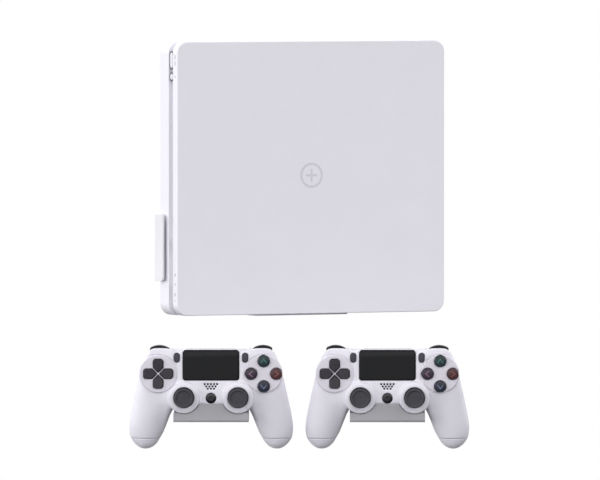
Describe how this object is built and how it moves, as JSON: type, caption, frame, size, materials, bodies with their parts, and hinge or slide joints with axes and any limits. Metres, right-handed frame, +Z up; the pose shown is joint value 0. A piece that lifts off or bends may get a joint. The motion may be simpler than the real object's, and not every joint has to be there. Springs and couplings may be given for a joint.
{
  "type": "game console with controller",
  "caption": "Slim game console hung flat in a wall bracket, with wireless hand controllers resting in folded brackets below it.",
  "frame": {"origin": "centre of the console bracket's back face, on the wall, behind the centre of the console", "axes": "+Z up, -Y out of the wall towards the viewer, +X to the viewer's right; the console's front edge with its disc slot faces -X"},
  "size_m": [0.3366, 0.1807, 0.3933],
  "materials": {
    "white_case": "matte",
    "white_band": "satin",
    "white_shell": "satin",
    "white_steel": "powder coat",
    "grey_steel": "powder coat",
    "dark_button": "satin",
    "dark_gloss": "gloss",
    "dark_soft": "matte",
    "grey_button": "matte",
    "white_button": "satin",
    "inner_plastic": "matte",
    "board": "satin",
    "inner_metal": "brushed",
    "screw_steel": "plain",
    "foot_rubber": "matte",
    "socket_metal": "plain"
  },
  "bodies": {
    "brackets": {"console_bracket": "white_steel", "player_one_bracket": "grey_steel", "player_two_bracket": "grey_steel"},
    "console": {"console_top_cover": "white_case", "console_center_frame": "white_band", "console_bottom_case": "white_case", "heat_sink": "inner_metal", "main_board": "board", "disc_drive": "inner_metal", "power_supply": "inner_plastic", "hard_drive": "inner_metal", "console_connectors": "socket_metal", "case_screws": "screw_steel", "console_feet": "foot_rubber"},
    "power_button": {"power_button": "white_button"},
    "eject_button": {"eject_button": "white_button"},
    "cooling_fan": {"cooling_fan": "inner_plastic"},
    "hard_drive_cover": {"hard_drive_cover": "white_case"},
    "player_one": {"player_one_front_shell": "white_shell", "player_one_rear_shell": "white_shell", "player_one_electronics": "board"},
    "player_one_direction_pad_pivot": {"player_one_direction_pad_pivot": "inner_plastic"},
    "player_one_direction_pad": {"player_one_direction_pad": "dark_button"},
    "player_one_top_key": {"player_one_top_key": "dark_button"},
    "player_one_left_key": {"player_one_left_key": "dark_button"},
    "player_one_right_key": {"player_one_right_key": "dark_button"},
    "player_one_bottom_key": {"player_one_bottom_key": "dark_button"},
    "player_one_share_key": {"player_one_share_key": "grey_button"},
    "player_one_options_key": {"player_one_options_key": "grey_button"},
    "player_one_touchpad": {"player_one_touchpad": "dark_gloss"},
    "player_one_home_key": {"player_one_home_key": "dark_gloss"},
    "player_one_left_stick_rocker": {"player_one_left_stick_rocker": "inner_plastic"},
    "player_one_left_stick": {"player_one_left_stick": "dark_soft"},
    "player_one_right_stick_rocker": {"player_one_right_stick_rocker": "inner_plastic"},
    "player_one_right_stick": {"player_one_right_stick": "dark_soft"},
    "player_one_left_bumper": {"player_one_left_bumper": "dark_gloss"},
    "player_one_right_bumper": {"player_one_right_bumper": "dark_gloss"},
    "player_one_left_trigger": {"player_one_left_trigger": "dark_button"},
    "player_one_right_trigger": {"player_one_right_trigger": "dark_button"},
    "player_two": {"player_two_front_shell": "white_shell", "player_two_rear_shell": "white_shell", "player_two_electronics": "board"},
    "player_two_direction_pad_pivot": {"player_two_direction_pad_pivot": "inner_plastic"},
    "player_two_direction_pad": {"player_two_direction_pad": "dark_button"},
    "player_two_top_key": {"player_two_top_key": "dark_button"},
    "player_two_left_key": {"player_two_left_key": "dark_button"},
    "player_two_right_key": {"player_two_right_key": "dark_button"},
    "player_two_bottom_key": {"player_two_bottom_key": "dark_button"},
    "player_two_share_key": {"player_two_share_key": "grey_button"},
    "player_two_options_key": {"player_two_options_key": "grey_button"},
    "player_two_touchpad": {"player_two_touchpad": "dark_gloss"},
    "player_two_home_key": {"player_two_home_key": "dark_gloss"},
    "player_two_left_stick_rocker": {"player_two_left_stick_rocker": "inner_plastic"},
    "player_two_left_stick": {"player_two_left_stick": "dark_soft"},
    "player_two_right_stick_rocker": {"player_two_right_stick_rocker": "inner_plastic"},
    "player_two_right_stick": {"player_two_right_stick": "dark_soft"},
    "player_two_left_bumper": {"player_two_left_bumper": "dark_gloss"},
    "player_two_right_bumper": {"player_two_right_bumper": "dark_gloss"},
    "player_two_left_trigger": {"player_two_left_trigger": "dark_button"},
    "player_two_right_trigger": {"player_two_right_trigger": "dark_button"}
  },
  "joints": [
    {"name": "console_lift", "type": "slide", "parent": "brackets", "child": "console", "axis": [0, 0, 1], "range_m": [0, 0.12]},
    {"name": "power_press", "type": "slide", "parent": "console", "child": "power_button", "axis": [1, 0, 0], "range_m": [0, 0.001], "stiffness_N_per_m": 800, "springref_m": -0.0012},
    {"name": "eject_press", "type": "slide", "parent": "console", "child": "eject_button", "axis": [1, 0, 0], "range_m": [0, 0.001], "stiffness_N_per_m": 800, "springref_m": -0.0012},
    {"name": "fan_spin", "type": "hinge", "parent": "console", "child": "cooling_fan", "pos_m": [0.07, -0.014, -0.07], "axis": [0, -1, 0], "continuous": true},
    {"name": "drive_cover_pull", "type": "slide", "parent": "console", "child": "hard_drive_cover", "axis": [1, 0, 0], "range_m": [0, 0.02]},
    {"name": "player_one_lift", "type": "slide", "parent": "brackets", "child": "player_one", "axis": [0, 0, 1], "range_m": [0, 0.022]},
    {"name": "player_one_top_press", "type": "slide", "parent": "player_one", "child": "player_one_top_key", "axis": [0.4384, 0.8988, 0], "range_m": [0, 0.0016], "stiffness_N_per_m": 400, "springref_m": -0.001},
    {"name": "player_one_left_press", "type": "slide", "parent": "player_one", "child": "player_one_left_key", "axis": [0.4384, 0.8988, 0], "range_m": [0, 0.0016], "stiffness_N_per_m": 400, "springref_m": -0.001},
    {"name": "player_one_right_press", "type": "slide", "parent": "player_one", "child": "player_one_right_key", "axis": [0.4384, 0.8988, 0], "range_m": [0, 0.0016], "stiffness_N_per_m": 400, "springref_m": -0.001},
    {"name": "player_one_bottom_press", "type": "slide", "parent": "player_one", "child": "player_one_bottom_key", "axis": [0.4384, 0.8988, 0], "range_m": [0, 0.0016], "stiffness_N_per_m": 400, "springref_m": -0.001},
    {"name": "player_one_share_press", "type": "slide", "parent": "player_one", "child": "player_one_share_key", "axis": [0.4384, 0.8988, 0], "range_m": [0, 0.0008], "stiffness_N_per_m": 400, "springref_m": -0.001},
    {"name": "player_one_options_press", "type": "slide", "parent": "player_one", "child": "player_one_options_key", "axis": [0.4384, 0.8988, 0], "range_m": [0, 0.0008], "stiffness_N_per_m": 400, "springref_m": -0.001},
    {"name": "player_one_home_press", "type": "slide", "parent": "player_one", "child": "player_one_home_key", "axis": [0.4384, 0.8988, 0], "range_m": [0, 0.0008], "stiffness_N_per_m": 400, "springref_m": -0.001},
    {"name": "player_one_pad_updown", "type": "hinge", "parent": "player_one", "child": "player_one_direction_pad_pivot", "pos_m": [-0.16503, -0.0436, -0.1874], "axis": [0.8988, -0.4384, 0], "range_deg": [-2.2, 2.2], "stiffness_Nm_per_rad": 0.15},
    {"name": "player_one_pad_leftright", "type": "hinge", "parent": "player_one_direction_pad_pivot", "child": "player_one_direction_pad", "pos_m": [-0.16503, -0.0436, -0.1874], "axis": [0, 0, 1], "range_deg": [-2.2, 2.2], "stiffness_Nm_per_rad": 0.15},
    {"name": "player_one_touchpad_click", "type": "hinge", "parent": "player_one", "child": "player_one_touchpad", "pos_m": [-0.12213, -0.07175, -0.165], "axis": [0.8988, -0.4384, 0], "range_deg": [0, 1.2], "stiffness_Nm_per_rad": 0.4, "springref_deg": -1.72},
    {"name": "player_one_left_stick_updown", "type": "hinge", "parent": "player_one", "child": "player_one_left_stick_rocker", "pos_m": [-0.14253, -0.05402, -0.2105], "axis": [0.8988, -0.4384, 0], "range_deg": [-18, 18], "stiffness_Nm_per_rad": 0.06},
    {"name": "player_one_left_stick_leftright", "type": "hinge", "parent": "player_one_left_stick_rocker", "child": "player_one_left_stick", "pos_m": [-0.14253, -0.05402, -0.2105], "axis": [0, 0, 1], "range_deg": [-18, 18], "stiffness_Nm_per_rad": 0.06},
    {"name": "player_one_left_bumper_press", "type": "slide", "parent": "player_one", "child": "player_one_left_bumper", "axis": [0, 0, -1], "range_m": [0, 0.0012], "stiffness_N_per_m": 500, "springref_m": -0.001},
    {"name": "player_one_left_trigger_pull", "type": "hinge", "parent": "player_one", "child": "player_one_left_trigger", "pos_m": [-0.15918, -0.03365, -0.1715], "axis": [-0.8988, 0.4384, 0], "range_deg": [0, 15], "stiffness_Nm_per_rad": 0.05, "springref_deg": -5.73},
    {"name": "player_one_right_stick_updown", "type": "hinge", "parent": "player_one", "child": "player_one_right_stick_rocker", "pos_m": [-0.09561, -0.0769, -0.2105], "axis": [0.8988, -0.4384, 0], "range_deg": [-18, 18], "stiffness_Nm_per_rad": 0.06},
    {"name": "player_one_right_stick_leftright", "type": "hinge", "parent": "player_one_right_stick_rocker", "child": "player_one_right_stick", "pos_m": [-0.09561, -0.0769, -0.2105], "axis": [0, 0, 1], "range_deg": [-18, 18], "stiffness_Nm_per_rad": 0.06},
    {"name": "player_one_right_bumper_press", "type": "slide", "parent": "player_one", "child": "player_one_right_bumper", "axis": [0, 0, -1], "range_m": [0, 0.0012], "stiffness_N_per_m": 500, "springref_m": -0.001},
    {"name": "player_one_right_trigger_pull", "type": "hinge", "parent": "player_one", "child": "player_one_right_trigger", "pos_m": [-0.0693, -0.07749, -0.1715], "axis": [-0.8988, 0.4384, 0], "range_deg": [0, 15], "stiffness_Nm_per_rad": 0.05, "springref_deg": -5.73},
    {"name": "player_two_lift", "type": "slide", "parent": "brackets", "child": "player_two", "axis": [0, 0, 1], "range_m": [0, 0.022]},
    {"name": "player_two_top_press", "type": "slide", "parent": "player_two", "child": "player_two_top_key", "axis": [0.4384, 0.8988, 0], "range_m": [0, 0.0016], "stiffness_N_per_m": 400, "springref_m": -0.001},
    {"name": "player_two_left_press", "type": "slide", "parent": "player_two", "child": "player_two_left_key", "axis": [0.4384, 0.8988, 0], "range_m": [0, 0.0016], "stiffness_N_per_m": 400, "springref_m": -0.001},
    {"name": "player_two_right_press", "type": "slide", "parent": "player_two", "child": "player_two_right_key", "axis": [0.4384, 0.8988, 0], "range_m": [0, 0.0016], "stiffness_N_per_m": 400, "springref_m": -0.001},
    {"name": "player_two_bottom_press", "type": "slide", "parent": "player_two", "child": "player_two_bottom_key", "axis": [0.4384, 0.8988, 0], "range_m": [0, 0.0016], "stiffness_N_per_m": 400, "springref_m": -0.001},
    {"name": "player_two_share_press", "type": "slide", "parent": "player_two", "child": "player_two_share_key", "axis": [0.4384, 0.8988, 0], "range_m": [0, 0.0008], "stiffness_N_per_m": 400, "springref_m": -0.001},
    {"name": "player_two_options_press", "type": "slide", "parent": "player_two", "child": "player_two_options_key", "axis": [0.4384, 0.8988, 0], "range_m": [0, 0.0008], "stiffness_N_per_m": 400, "springref_m": -0.001},
    {"name": "player_two_home_press", "type": "slide", "parent": "player_two", "child": "player_two_home_key", "axis": [0.4384, 0.8988, 0], "range_m": [0, 0.0008], "stiffness_N_per_m": 400, "springref_m": -0.001},
    {"name": "player_two_pad_updown", "type": "hinge", "parent": "player_two", "child": "player_two_direction_pad_pivot", "pos_m": [-0.01203, -0.1182, -0.1874], "axis": [0.8988, -0.4384, 0], "range_deg": [-2.2, 2.2], "stiffness_Nm_per_rad": 0.15},
    {"name": "player_two_pad_leftright", "type": "hinge", "parent": "player_two_direction_pad_pivot", "child": "player_two_direction_pad", "pos_m": [-0.01203, -0.1182, -0.1874], "axis": [0, 0, 1], "range_deg": [-2.2, 2.2], "stiffness_Nm_per_rad": 0.15},
    {"name": "player_two_touchpad_click", "type": "hinge", "parent": "player_two", "child": "player_two_touchpad", "pos_m": [0.03087, -0.14635, -0.165], "axis": [0.8988, -0.4384, 0], "range_deg": [0, 1.2], "stiffness_Nm_per_rad": 0.4, "springref_deg": -1.72},
    {"name": "player_two_left_stick_updown", "type": "hinge", "parent": "player_two", "child": "player_two_left_stick_rocker", "pos_m": [0.01047, -0.12862, -0.2105], "axis": [0.8988, -0.4384, 0], "range_deg": [-18, 18], "stiffness_Nm_per_rad": 0.06},
    {"name": "player_two_left_stick_leftright", "type": "hinge", "parent": "player_two_left_stick_rocker", "child": "player_two_left_stick", "pos_m": [0.01047, -0.12862, -0.2105], "axis": [0, 0, 1], "range_deg": [-18, 18], "stiffness_Nm_per_rad": 0.06},
    {"name": "player_two_left_bumper_press", "type": "slide", "parent": "player_two", "child": "player_two_left_bumper", "axis": [0, 0, -1], "range_m": [0, 0.0012], "stiffness_N_per_m": 500, "springref_m": -0.001},
    {"name": "player_two_left_trigger_pull", "type": "hinge", "parent": "player_two", "child": "player_two_left_trigger", "pos_m": [-0.00618, -0.10826, -0.1715], "axis": [-0.8988, 0.4384, 0], "range_deg": [0, 15], "stiffness_Nm_per_rad": 0.05, "springref_deg": -5.73},
    {"name": "player_two_right_stick_updown", "type": "hinge", "parent": "player_two", "child": "player_two_right_stick_rocker", "pos_m": [0.05739, -0.1515, -0.2105], "axis": [0.8988, -0.4384, 0], "range_deg": [-18, 18], "stiffness_Nm_per_rad": 0.06},
    {"name": "player_two_right_stick_leftright", "type": "hinge", "parent": "player_two_right_stick_rocker", "child": "player_two_right_stick", "pos_m": [0.05739, -0.1515, -0.2105], "axis": [0, 0, 1], "range_deg": [-18, 18], "stiffness_Nm_per_rad": 0.06},
    {"name": "player_two_right_bumper_press", "type": "slide", "parent": "player_two", "child": "player_two_right_bumper", "axis": [0, 0, -1], "range_m": [0, 0.0012], "stiffness_N_per_m": 500, "springref_m": -0.001},
    {"name": "player_two_right_trigger_pull", "type": "hinge", "parent": "player_two", "child": "player_two_right_trigger", "pos_m": [0.0837, -0.15209, -0.1715], "axis": [-0.8988, 0.4384, 0], "range_deg": [0, 15], "stiffness_Nm_per_rad": 0.05, "springref_deg": -5.73}
  ]
}
